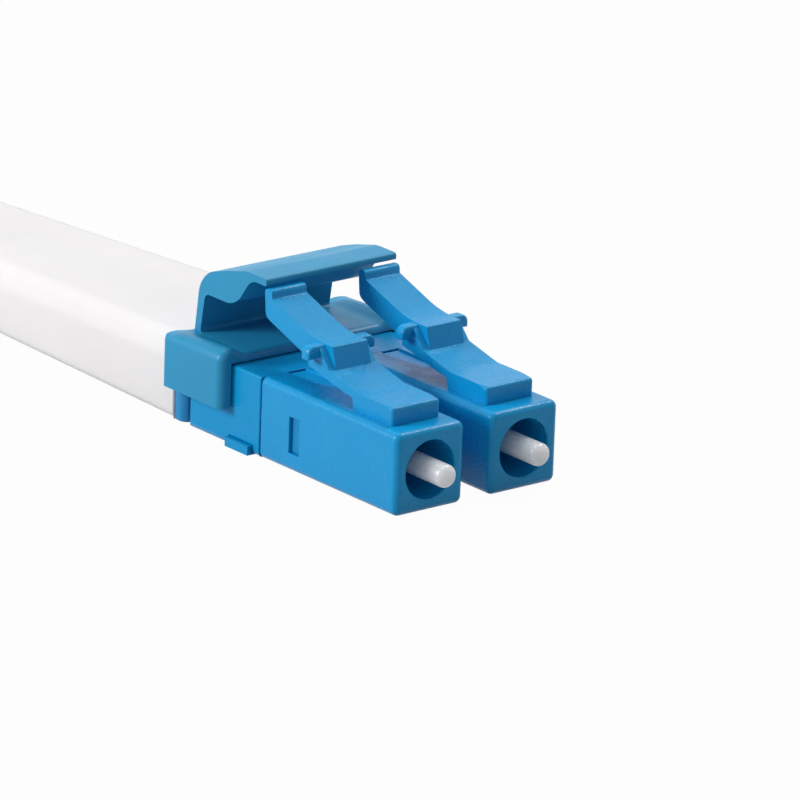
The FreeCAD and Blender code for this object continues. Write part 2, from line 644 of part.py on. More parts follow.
def trigger_lever():
    """Riser, thick pad and thin front plate, one profile across the clip."""
    low = RISER_FLEX_Z + FLEX_GAP / 2
    plate_low = bead_top() + LEVER_GAP
    plate_top = plate_low + LEVER_PLATE_T
    front = TAIL_Y - LEVER_COVER
    bend_z = plate_top - LEVER_BEND_DROP
    corners = [
        (riser_y(low), low),
        (riser_y(bend_z), bend_z, LEVER_BEND_R),
        (front + LEVER_CREST, plate_top, LEVER_CREST_R),
        (front, plate_top, LEVER_FRONT_R),
        (front, plate_low, LEVER_FRONT_R),
        (front + LEVER_PLATE_LEN, plate_low, PAD_BLEND_R),
        (front + PAD_FROM, PAD_Z, PAD_FRONT_R),
        (riser_y(PAD_Z) - RISER_T, PAD_Z, PAD_BACK_R),
        (riser_y(low) - RISER_T, low),
    ]
    lever = side_profile(corners, -LEVER_W / 2, LEVER_W / 2)
    upright = edges_where(lever, lambda p: near(p.y, riser_y(p.z)) and near(abs(p.x), LEVER_W / 2))
    lever = lever.makeChamfer(LEVER_EDGE_C, upright)
    return solid_of(lever)


def main():
    os.makedirs("parts", exist_ok=True)
    per_plug = {
        "plug_shell": plug_shell,
        "latch_arm": latch_arm,
        "ferrule": ferrule,
        "ferrule_flange": ferrule_flange,
        "guide_tube": guide_tube,
        "ferrule_spring": ferrule_spring,
        "spring_stop": spring_stop,
    }
    for side, x in zip(("left", "right"), plug_axes()):
        for name, make in per_plug.items():
            save(side + "_" + name, make(x))
    save("housing_body", housing_body())
    save("housing_bottom", housing_bottom())
    save("crimp_body", crimp_body())
    save("crimp_sleeve", crimp_sleeve())
    save("rear_collar", rear_collar())
    save("boot", boot())
    save("trigger_clip", trigger_clip())
    save("trigger_lever", trigger_lever())


main()
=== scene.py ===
import json
import logging
import math
from dataclasses import dataclass, field
from enum import Enum
from typing import Callable, Iterable, Sequence

import bmesh
import bpy
from mathutils import Matrix, Vector


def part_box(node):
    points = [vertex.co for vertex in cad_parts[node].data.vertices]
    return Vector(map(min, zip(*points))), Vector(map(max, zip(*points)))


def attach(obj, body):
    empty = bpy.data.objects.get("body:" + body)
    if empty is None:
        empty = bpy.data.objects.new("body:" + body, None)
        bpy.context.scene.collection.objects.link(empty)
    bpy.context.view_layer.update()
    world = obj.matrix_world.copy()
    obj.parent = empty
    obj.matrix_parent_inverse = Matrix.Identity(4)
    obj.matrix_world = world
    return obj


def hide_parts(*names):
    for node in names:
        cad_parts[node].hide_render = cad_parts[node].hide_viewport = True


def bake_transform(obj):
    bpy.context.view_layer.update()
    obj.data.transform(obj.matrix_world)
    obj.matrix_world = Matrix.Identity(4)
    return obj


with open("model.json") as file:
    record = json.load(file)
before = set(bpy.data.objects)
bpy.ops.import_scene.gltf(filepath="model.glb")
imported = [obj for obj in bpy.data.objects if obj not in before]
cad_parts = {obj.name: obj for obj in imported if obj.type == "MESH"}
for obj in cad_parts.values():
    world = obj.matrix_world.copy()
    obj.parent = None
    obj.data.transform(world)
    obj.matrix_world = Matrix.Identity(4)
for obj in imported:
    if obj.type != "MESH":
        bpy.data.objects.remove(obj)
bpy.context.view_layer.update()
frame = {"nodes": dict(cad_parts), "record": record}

LOG = logging.getLogger("duplex_fibre_connector")

MM = 0.001              # the bench works in millimetres, and the scene in metres
DIGITS = 3              # the frame's sizes are read to a thousandth of a millimetre
NOSE_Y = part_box("left_plug_shell")[0].y
FLAT_ANGLE = math.radians(0.5)
SHARP_ANGLE = math.radians(28.0)

Point = tuple[float, float, float]
Station = tuple[float, float]
Test = Callable[[Vector, Vector], bool]


class Side(Enum):
    """One half of the connector and the side of the middle plane it lies on."""

    LEFT = "left"
    RIGHT = "right"

    @property
    def axis_x(self) -> float:
        """Return the plug's axis across the connector, in millimetres."""
        low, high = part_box(f"{self.value}_plug_shell")
        return (low.x + high.x) / 2 / MM

    def node(self, name: str) -> str:
        """Return the name that a piece has on this side."""
        return f"{self.value}_{name}"


class Part(Enum):
    """What an edit-mode selection is made of."""

    VERT = "VERT"
    EDGE = "EDGE"
    FACE = "FACE"


def near(a: float, b: float, within: float = 0.002) -> bool:
    """Return whether two lengths agree."""
    return abs(a - b) < within


def clear_selection() -> None:
    """Leave object mode with nothing selected."""
    if bpy.context.mode != "OBJECT":
        bpy.ops.object.mode_set(mode="OBJECT")
    bpy.ops.object.select_all(action="DESELECT")


def to_scene(point: Point) -> Vector:
    """Turn a bench point into a point of the row frame.

    Args:
        point: millimetres, with y measured from the plugs' front faces.

    Returns:
        The same point in metres in the row frame.
    """
    return Vector((point[0] * MM, point[1] * MM + NOSE_Y, point[2] * MM))


def to_bench(length: float) -> float:
    """Turn metres into millimetres, to a thousandth."""
    return round(length / MM, DIGITS)


def past(place: float, distance: float) -> float:
    """Return the place at a distance past another, to a thousandth."""
    return round(place + distance, DIGITS)


@dataclass(frozen=True)
class Extent:
    """Box round one solid of the frame, in millimetres from the plugs' front faces."""

    left: float
    right: float
    front: float
    back: float
    bottom: float
    top: float

    @classmethod
    def of(cls, node: str) -> "Extent":
        """Measure one solid.

        Args:
            node: name of the solid in the frame.

        Returns:
            The box round it.
        """
        low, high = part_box(node)
        return cls(to_bench(low.x), to_bench(high.x), to_bench(low.y - NOSE_Y),
                   to_bench(high.y - NOSE_Y), to_bench(low.z), to_bench(high.z))

    @property
    def middle_z(self) -> float:
        """Return the height of the box's middle."""
        return round((self.bottom + self.top) / 2, DIGITS)


def pivot(joint: str) -> Point:
    """Find where a hinge of the record has its axis.

    Args:
        joint: name of the joint.

    Returns:
        A point of that axis on the bench.
    """
    joints = frame["record"]["behaviour"]["joints"]
    x, y, z = next(entry["pos_m"] for entry in joints if entry["name"] == joint)
    return (to_bench(x), to_bench(y - NOSE_Y), to_bench(z))


# ---- Places from the frame --------------------------------------------------------------------
PLUG = Extent.of("left_plug_shell")
FLANGE = Extent.of("left_ferrule_flange")
STOP = Extent.of("left_spring_stop")
FERRULE = Extent.of("left_ferrule")
LATCH = Extent.of("left_latch_arm")
HOUSING = Extent.of("housing_body")
CLIP = Extent.of("trigger_clip")
LEVER = Extent.of("trigger_lever")
COLLAR = Extent.of("rear_collar")
BOOT = Extent.of("boot")
SLEEVE = Extent.of("crimp_sleeve")

PLUG_W = past(PLUG.right, -PLUG.left)
PLUG_Z = FERRULE.middle_z                   # height of the ferrules' axes
CABLE_Z = SLEEVE.middle_z                   # height of the cable's axis
HOUSING_BACK = past(HOUSING.back, 0.15)     # the housing reaches further under the clip
BOOT_FRONT = past(BOOT.front, -0.45)        # the collar is short, so the boot starts sooner
LATCH_BEND_Y = pivot("left_latch_press")[1]
LEVER_BEND_Z = pivot("lever_press")[2]


# ---- Finishes ---------------------------------------------------------------------------------
@dataclass(frozen=True)
class Finish:
    """A surface finish made of procedural nodes.

    Lengths are in millimetres. The tone is what the colour drifts to in soft patches.
    """

    name: str
    colour: tuple[float, float, float]
    tone: tuple[float, float, float]
    rough: float
    rough_swing: float
    grain: float
    grain_depth: float
    metallic: float = 0.0
    specular: float = 0.5
    patch: float = 4.0
    subsurface: float = 0.0

    def build(self) -> bpy.types.Material:
        """Make the material, unless it is made already.

        Returns:
            The material.
        """
        made = bpy.data.materials.get(self.name)
        if made is not None:
            return made
        made = bpy.data.materials.new(self.name)
        made.use_nodes = True
        tree = made.node_tree
        shader = tree.nodes["Principled BSDF"]
        shader.inputs["Metallic"].default_value = self.metallic
        shader.inputs["Specular IOR Level"].default_value = self.specular
        if self.subsurface:
            shader.inputs["Subsurface Weight"].default_value = self.subsurface
            shader.inputs["Subsurface Radius"].default_value = (1.0, 0.9, 0.85)
            shader.inputs["Subsurface Scale"].default_value = 0.004
        place = tree.nodes.new("ShaderNodeTexCoord")
        self._colour(tree, shader, place)
        self._roughness(tree, shader, place)
        self._grain(tree, shader, place)
        return made

    def _noise(self, tree: bpy.types.NodeTree, place: bpy.types.Node, size: float,
               detail: float) -> bpy.types.Node:
        """Add a noise that lies on the object.

        Args:
            tree: node tree of the material.
            place: the node that gives the place on the object.
            size: rough size of a feature in millimetres.
            detail: how many finer layers the noise has.

        Returns:
            The noise node.
        """
        noise = tree.nodes.new("ShaderNodeTexNoise")
        noise.inputs["Scale"].default_value = 1.0 / (size * MM)
        noise.inputs["Detail"].default_value = detail
        tree.links.new(place.outputs["Object"], noise.inputs["Vector"])
        return noise

    def _colour(self, tree: bpy.types.NodeTree, shader: bpy.types.Node,
                place: bpy.types.Node) -> None:
        """Let the colour drift between its two tones.

        Args:
            tree: node tree of the material.
            shader: the shader that is dressed.
            place: the node that gives the place on the object.
        """
        noise = self._noise(tree, place, self.patch, 3.0)
        ramp = tree.nodes.new("ShaderNodeValToRGB")
        ramp.color_ramp.elements[0].position = 0.35
        ramp.color_ramp.elements[0].color = (*self.colour, 1.0)
        ramp.color_ramp.elements[1].position = 0.70
        ramp.color_ramp.elements[1].color = (*self.tone, 1.0)
        tree.links.new(noise.outputs["Fac"], ramp.inputs["Fac"])
        tree.links.new(ramp.outputs["Color"], shader.inputs["Base Color"])

    def _roughness(self, tree: bpy.types.NodeTree, shader: bpy.types.Node,
                   place: bpy.types.Node) -> None:
        """Let the gloss change a little from place to place.

        Args:
            tree: node tree of the material.
            shader: the shader that is dressed.
            place: the node that gives the place on the object.
        """
        noise = self._noise(tree, place, self.patch * 0.3, 2.0)
        span = tree.nodes.new("ShaderNodeMapRange")
        span.inputs["From Min"].default_value = 0.3
        span.inputs["From Max"].default_value = 0.7
        span.inputs["To Min"].default_value = self.rough - self.rough_swing
        span.inputs["To Max"].default_value = self.rough + self.rough_swing
        tree.links.new(noise.outputs["Fac"], span.inputs["Value"])
        tree.links.new(span.outputs["Result"], shader.inputs["Roughness"])

    def _grain(self, tree: bpy.types.NodeTree, shader: bpy.types.Node,
               place: bpy.types.Node) -> None:
        """Give the surface its fine grain.

        Args:
            tree: node tree of the material.
            shader: the shader that is dressed.
            place: the node that gives the place on the object.
        """
        noise = self._noise(tree, place, self.grain, 2.0)
        bump = tree.nodes.new("ShaderNodeBump")
        bump.inputs["Strength"].default_value = 1.0
        bump.inputs["Distance"].default_value = self.grain_depth * MM
        tree.links.new(noise.outputs["Fac"], bump.inputs["Height"])
        tree.links.new(bump.outputs["Normal"], shader.inputs["Normal"])


PLUG_BLUE = Finish("plug_blue_plastic", (0.003, 0.304, 0.645), (0.004, 0.322, 0.67), 0.27, 0.05,
                   0.09, 0.019, specular=0.22)
HOUSING_BLUE = Finish("housing_blue_plastic", (0.003, 0.286, 0.60), (0.004, 0.303, 0.63), 0.30,
                      0.05, 0.10, 0.010, specular=0.16)
INNER_BLUE = Finish("inner_blue_plastic", (0.0, 0.23, 0.52), (0.0, 0.25, 0.55), 0.45, 0.05,
                    0.2, 0.008, specular=0.3)
COLLAR_BLUE = Finish("collar_blue_plastic", (0.0, 0.24, 0.54), (0.0, 0.26, 0.57), 0.3, 0.05,
                     0.4, 0.006, specular=0.4)
CLIP_BLUE = Finish("clip_blue_plastic", (0.018, 0.272, 0.495), (0.020, 0.290, 0.52), 0.38, 0.04,
                   0.3, 0.0025, specular=0.25)
ZIRCONIA = Finish("ferrule_ceramic", (0.94, 0.94, 0.94), (0.96, 0.96, 0.96), 0.28, 0.06,
                  0.1, 0.0015, specular=0.6, subsurface=1.0, patch=1.5)
STEEL = Finish("turned_steel", (0.56, 0.56, 0.57), (0.62, 0.62, 0.63), 0.3, 0.08,
               0.12, 0.002, metallic=1.0, patch=1.0)
SPRING_STEEL = Finish("drawn_spring_wire", (0.5, 0.5, 0.51), (0.58, 0.58, 0.59), 0.25, 0.06,
                      0.1, 0.002, metallic=1.0, patch=0.8)
SLEEVE_METAL = Finish("crimp_sleeve_metal", (0.68, 0.68, 0.70), (0.74, 0.74, 0.76), 0.38, 0.08,
                      0.2, 0.003, metallic=1.0, patch=1.2)
TUBE_WHITE = Finish("guide_tube_plastic", (0.80, 0.80, 0.79), (0.84, 0.84, 0.82), 0.4, 0.05,
                    0.2, 0.002, patch=1.5)
BOOT_WHITE = Finish("boot_white_elastomer", (0.775, 0.757, 0.765), (0.80, 0.782, 0.788), 0.5, 0.06,
                    0.25, 0.008, specular=0.2, subsurface=0.15, patch=6.0)


# ---- Bench ------------------------------------------------------------------------------------
class Bench:
    """One mesh in millimetres, shaped in edit mode and then set down in the row frame."""

    def __init__(self, name: str) -> None:
        """Take the primitive that was just added, with its place in its mesh.

        Args:
            name: name of the mesh.
        """
        bpy.ops.object.transform_apply(location=True, rotation=True, scale=True)
        self.obj = bpy.context.active_object
        self.obj.name = name
        self.inner: Station = (0.0, 0.0)
        self.outer: Station = (0.0, 0.0)

    @classmethod
    def block(cls, name: str, low: Point, high: Point) -> "Bench":
        """Add a block.

        Args:
            name: name of the mesh.
            low: its lowest corner.
            high: its highest corner.

        Returns:
            The block.
        """
        clear_selection()
        middle = [(a + b) / 2 for a, b in zip(low, high)]
        span = [b - a for a, b in zip(low, high)]
        bpy.ops.mesh.primitive_cube_add(size=1.0, location=middle, scale=span)
        return cls(name)

    @classmethod
    def rod(cls, name: str, x: float, z: float, radius: float, y_from: float, y_to: float,
            sides: int = 64) -> "Bench":
        """Add a cylinder that runs along the connector.

        Args:
            name: name of the mesh.
            x: place of its axis across the connector.
            z: height of its axis.
            radius: its radius.
            y_from: its front end.
            y_to: its back end.
            sides: how many flats stand for the round.

        Returns:
            The cylinder.
        """
        clear_selection()
        bpy.ops.mesh.primitive_cylinder_add(
            vertices=sides, radius=radius, depth=y_to - y_from,
            location=(x, (y_from + y_to) / 2, z), rotation=(math.pi / 2, 0.0, 0.0))
        return cls(name)

    @classmethod
    def bar(cls, name: str, half: float, x: float, stations: Sequence[tuple[Station, Station]],
            lead: float = 0.05) -> "Bench":
        """Add a bar across the connector whose outline runs through stations.

        Args:
            name: name of the mesh.
            half: half of the bar's width.
            x: middle of its width.
            stations: y and z of the lower or front edge, then of the upper or rear edge.
            lead: length of the square piece that the bar starts with.

        Returns:
            The bar, with sharp corners.
        """
        inner, outer = stations[0]
        upright = abs(outer[1] - inner[1]) > abs(outer[0] - inner[0])
        if upright:
            bar = cls.block(name, (x - half, inner[0] - lead, inner[1]),
                            (x + half, inner[0], outer[1]))
            bar.pick(Part.FACE, lambda m, n: n.y > 0.9)
        else:
            bar = cls.block(name, (x - half, inner[0], inner[1] - lead),
                            (x + half, outer[0], inner[1]))
            bar.pick(Part.FACE, lambda m, n: n.z > 0.9)
        bar.inner, bar.outer = inner, outer
        for low, high in stations[1:]:
            bar.grow(low, high)
        bar.merge_flats()
        return bar

    def edit(self) -> bmesh.types.BMesh:
        """Enter edit mode on this mesh alone.

        Returns:
            Its edit mesh.
        """
        if bpy.context.mode != "EDIT_MESH" or bpy.context.active_object != self.obj:
            clear_selection()
            self.obj.select_set(True)
            bpy.context.view_layer.objects.active = self.obj
            bpy.ops.object.mode_set(mode="EDIT")
        return bmesh.from_edit_mesh(self.obj.data)

    def pick(self, part: Part, test: Test) -> int:
        """Select the elements that pass a test.

        Args:
            part: what is selected.
            test: takes an element's middle, and a face's normal or an edge's direction.

        Returns:
            How many elements are selected.
        """
        self.edit()
        bpy.ops.mesh.select_mode(type=part.value)
        bpy.ops.mesh.select_all(action="DESELECT")
        mesh = bmesh.from_edit_mesh(self.obj.data)
        found = 0
        if part is Part.FACE:
            for face in mesh.faces:
                if test(face.calc_center_median(), face.normal):
                    face.select_set(True)
                    found += 1
        elif part is Part.EDGE:
            for edge in mesh.edges:
                a, b = (v.co for v in edge.verts)
                if test((a + b) / 2, (b - a).normalized()):
                    edge.select_set(True)
                    found += 1
        else:
            for vert in mesh.verts:
                if test(vert.co, vert.normal):
                    vert.select_set(True)
                    found += 1
        mesh.select_flush_mode()
        bmesh.update_edit_mesh(self.obj.data)
        return found

    def extrude(self, move: Point) -> None:
        """Extrude the selected faces by a move."""
        bpy.ops.mesh.extrude_region_move(TRANSFORM_OT_translate={"value": move})

    def resize(self, factors: Point, centre: Point) -> None:
        """Scale what is selected about a point."""
        bpy.ops.transform.resize(value=factors, center_override=centre)

    def grow(self, inner: Station, outer: Station) -> None:
        """Extrude the selected end face to a new station.

        Args:
            inner: y and z of the lower or front edge of the new end face.
            outer: y and z of its upper or rear edge.
        """
        bpy.ops.mesh.extrude_region_move()
        mesh = bmesh.from_edit_mesh(self.obj.data)
        fresh = [v.index for v in mesh.verts if v.select]
        for old, new in ((self.inner, inner), (self.outer, outer)):
            mesh = bmesh.from_edit_mesh(self.obj.data)
            mesh.verts.ensure_lookup_table()
            bpy.ops.mesh.select_mode(type="VERT")
            bpy.ops.mesh.select_all(action="DESELECT")
            for i in fresh:
                vert = mesh.verts[i]
                if math.hypot(vert.co.y - old[0], vert.co.z - old[1]) < 1e-4:
                    vert.select_set(True)
            bmesh.update_edit_mesh(self.obj.data)
            bpy.ops.transform.translate(value=(0.0, new[0] - old[0], new[1] - old[1]))
        mesh = bmesh.from_edit_mesh(self.obj.data)
        mesh.verts.ensure_lookup_table()
        for i in fresh:
            mesh.verts[i].select_set(True)
        mesh.select_flush_mode()
        bpy.ops.mesh.select_mode(type="FACE")
        bmesh.update_edit_mesh(self.obj.data)
        self.inner = inner
        self.outer = outer

    def round_over(self, radius: float, test: Test, segments: int = 6) -> None:
        """Round corners that turn by the same angle.

        Args:
            radius: radius of the rounding.
            test: takes an edge's middle and direction, and picks the corners.
            segments: how many faces the rounding has.
        """
        if not self.pick(Part.EDGE, test):
            raise ValueError(f"{self.obj.name}: no edge to round by {radius}")
        mesh = bmesh.from_edit_mesh(self.obj.data)
        turn = max(edge.calc_face_angle() for edge in mesh.edges if edge.select)
        bpy.ops.mesh.bevel(offset=radius * math.tan(turn / 2), segments=segments, profile=0.5,
                           affect="EDGES", clamp_overlap=False)

    def round_corners(self, corners: Iterable[tuple[float, float, float]],
                      segments: int = 6) -> None:
        """Round corners of a bar's outline.

        Args:
            corners: each corner's y, its z and its radius.
            segments: how many faces each rounding has.
        """
        for y, z, radius in corners:
            self.round_over(radius, lambda m, d: abs(d.x) > 0.99
                            and math.hypot(m.y - y, m.z - z) < 0.004, segments)
        clear_selection()

    def merge_flats(self) -> None:
        """Join faces that lie in one plane."""
        self.edit()
        bpy.ops.mesh.select_mode(type="VERT")
        bpy.ops.mesh.select_all(action="SELECT")
        bpy.ops.mesh.dissolve_limited(angle_limit=FLAT_ANGLE)
        clear_selection()

    def _apply(self, modifier: bpy.types.Modifier) -> None:
        """Apply a modifier.

        Args:
            modifier: a modifier of this mesh.
        """
        clear_selection()
        self.obj.select_set(True)
        bpy.context.view_layer.objects.active = self.obj
        bpy.ops.object.modifier_apply(modifier=modifier.name)

    def _combine(self, others: Iterable["Bench"], operation: str) -> None:
        """Combine other meshes with this one, and delete them.

        Args:
            others: the other meshes.
            operation: UNION or DIFFERENCE.
        """
        for other in others:
            clear_selection()
            cut = self.obj.modifiers.new(operation.lower(), "BOOLEAN")
            cut.operation = operation
            cut.solver = "EXACT"
            cut.object = other.obj
            self._apply(cut)
            clear_selection()
            bpy.data.objects.remove(other.obj, do_unlink=True)

    def cut(self, *others: "Bench") -> None:
        """Cut other meshes out of this one."""
        self._combine(others, "DIFFERENCE")

    def weld(self, *others: "Bench") -> None:
        """Join other meshes to this one."""
        self._combine(others, "UNION")

    def soften(self, rules: Sequence[tuple[Test, float]], rest: float, segments: int = 4) -> None:
        """Round the sharp edges.

        Args:
            rules: tests on an edge's middle and direction, each with the edge's radius.
                The first test that passes counts, and a radius of 0 keeps the edge sharp.
            rest: radius of every other sharp edge.
            segments: how many faces a rounding has.
        """
        self.merge_flats()
        largest = max([radius for _, radius in rules] + [rest])
        data = self.obj.data
        weights = data.attributes.get("bevel_weight_edge")
        if weights is None:
            weights = data.attributes.new("bevel_weight_edge", "FLOAT", "EDGE")
        mesh = bmesh.new()
        mesh.from_mesh(data)
        layer = mesh.edges.layers.float.get("bevel_weight_edge")
        for edge in mesh.edges:
            if len(edge.link_faces) != 2 or edge.calc_face_angle(0.0) < SHARP_ANGLE:
                edge[layer] = 0.0
                continue
            a, b = (v.co for v in edge.verts)
            middle = (a + b) / 2
            along = (b - a).normalized()
            radius = rest
            for test, value in rules:
                if test(middle, along):
                    radius = value
                    break
            edge[layer] = radius / largest
        mesh.to_mesh(data)
        mesh.free()
        bevel = self.obj.modifiers.new("soften", "BEVEL")
        bevel.limit_method = "WEIGHT"
        bevel.width = largest
        bevel.segments = segments
        bevel.use_clamp_overlap = True
        bevel.miter_outer = "MITER_SHARP"
        self._apply(bevel)

    def slice(self, stations: Iterable[float], normal: Point) -> None:
        """Add lines of vertices where the piece has to bend.

        Args:
            stations: distances of the cutting planes from the bench's origin.
            normal: direction of those planes, one of the axes.
        """
        for station in stations:
            self.edit()
            bpy.ops.mesh.select_mode(type="VERT")
            bpy.ops.mesh.select_all(action="SELECT")
            point = tuple(station * n for n in normal)
            bpy.ops.mesh.bisect(plane_co=point, plane_no=normal)
        clear_selection()

    def settle(self, finish: Finish, slot: str) -> bpy.types.Object:
        """Shade the mesh, bring it to metres in the row frame and dress it.

        Args:
            finish: the surface finish.
            slot: name of the record's material slot; not used.

        Returns:
            The finished object, which still has to ride on a body.
        """
        clear_selection()
        self.obj.select_set(True)
        bpy.context.view_layer.objects.active = self.obj
        self.obj.data.transform(Matrix.Translation((0.0, NOSE_Y, 0.0)) @ Matrix.Scale(MM, 4))
        bpy.ops.object.shade_smooth_by_angle(angle=SHARP_ANGLE)
        flat = self.obj.modifiers.new("even_normals", "WEIGHTED_NORMAL")
        flat.keep_sharp = True
        flat.weight = 100
        self._apply(flat)
        self.obj.data.materials.clear()
        self.obj.data.materials.append(finish.build())
        clear_selection()
        LOG.info("%s: %d faces", self.obj.name, len(self.obj.data.polygons))
        return self.obj


# ---- Plugs ------------------------------------------------------------------------------------
@dataclass
class PlugShell:
    """Square shell of one plug, with the mouth round the ferrule."""

    side: Side
    width: float = PLUG_W
    length: float = PLUG.back
    mouth_r: float = 1.6
    mouth_depth: float = 3.4
    seat_hole_r: float = 0.8
    seat_back: float = FLANGE.front
    spring_bore_r: float = 1.4
    stop_front: float = past(STOP.front, -0.05)
    stop_bore_r: float = 1.7
    window: tuple[float, float, float, float] = (8.15, 9.0, 1.0, 3.0)
    channel_w: float = 1.2
    channel_front: float = 7.5
    channel_z: float = 4.37
    nose_r: float = 0.38
    long_r: float = 0.4
    rim_r: float = 0.07
    back_r: float = 0.07
    small_r: float = 0.04
    margin: float = 1.0

    def build(self) -> bpy.types.Object:
        """Make the shell, which rides on the housing.

        Returns:
            The finished piece.
        """
        x = self.side.axis_x
        half = self.width / 2
        shell = Bench.block(self.side.node("plug_moulding"), (x - half, 0, 0),
                            (x + half, self.length, self.width))
        shell.round_over(self.long_r, lambda m, d: abs(d.y) > 0.99)
        shell.round_over(self.nose_r, lambda m, d: near(m.y, 0), 8)
        shell.cut(
            Bench.rod("mouth", x, half, self.mouth_r, -self.margin, self.mouth_depth),
            Bench.rod("seat", x, half, self.seat_hole_r, 1.0, self.seat_back + 0.5, 48),
            Bench.rod("spring_room", x, half, self.spring_bore_r, self.seat_back,
                      self.stop_front + 0.5, 48),
            Bench.rod("stop_room", x, half, self.stop_bore_r, self.stop_front,
                      self.length + self.margin))
        rim = Bench.rod("rim", x, half, self.mouth_r, -self.rim_r, self.rim_r)
        rim.pick(Part.FACE, lambda m, n: n.y < -0.9)
        wider = 1.0 + 2.0 * self.rim_r / self.mouth_r
        rim.resize((wider, 1.0, wider), (x, -self.rim_r, half))
        shell.cut(rim)
        y0, y1, z0, z1 = self.window
        for edge in (-1, 1):
            shell.cut(Bench.block("window", (x + edge * half - self.margin, y0, z0),
                                  (x + edge * half + self.margin, y1, z1)))
        shell.cut(Bench.block("channel",
                              (x - self.channel_w / 2, self.channel_front, self.channel_z),
                              (x + self.channel_w / 2, self.length + self.margin,
                               self.width + self.margin)))
        shell.soften([
            (lambda m, d: math.hypot(m.x - x, m.z - half) < self.mouth_r + self.rim_r + 0.01
             and m.y < self.rim_r + 0.01, 0.0),
            (lambda m, d: near(m.y, self.length), self.back_r),
            (lambda m, d: math.hypot(m.x - x, m.z - half) < self.stop_bore_r + 0.01, 0.0),
        ], self.small_r)
        piece = shell.settle(PLUG_BLUE, "plug_blue")
        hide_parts(self.side.node("plug_shell"))
        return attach(piece, "housing")


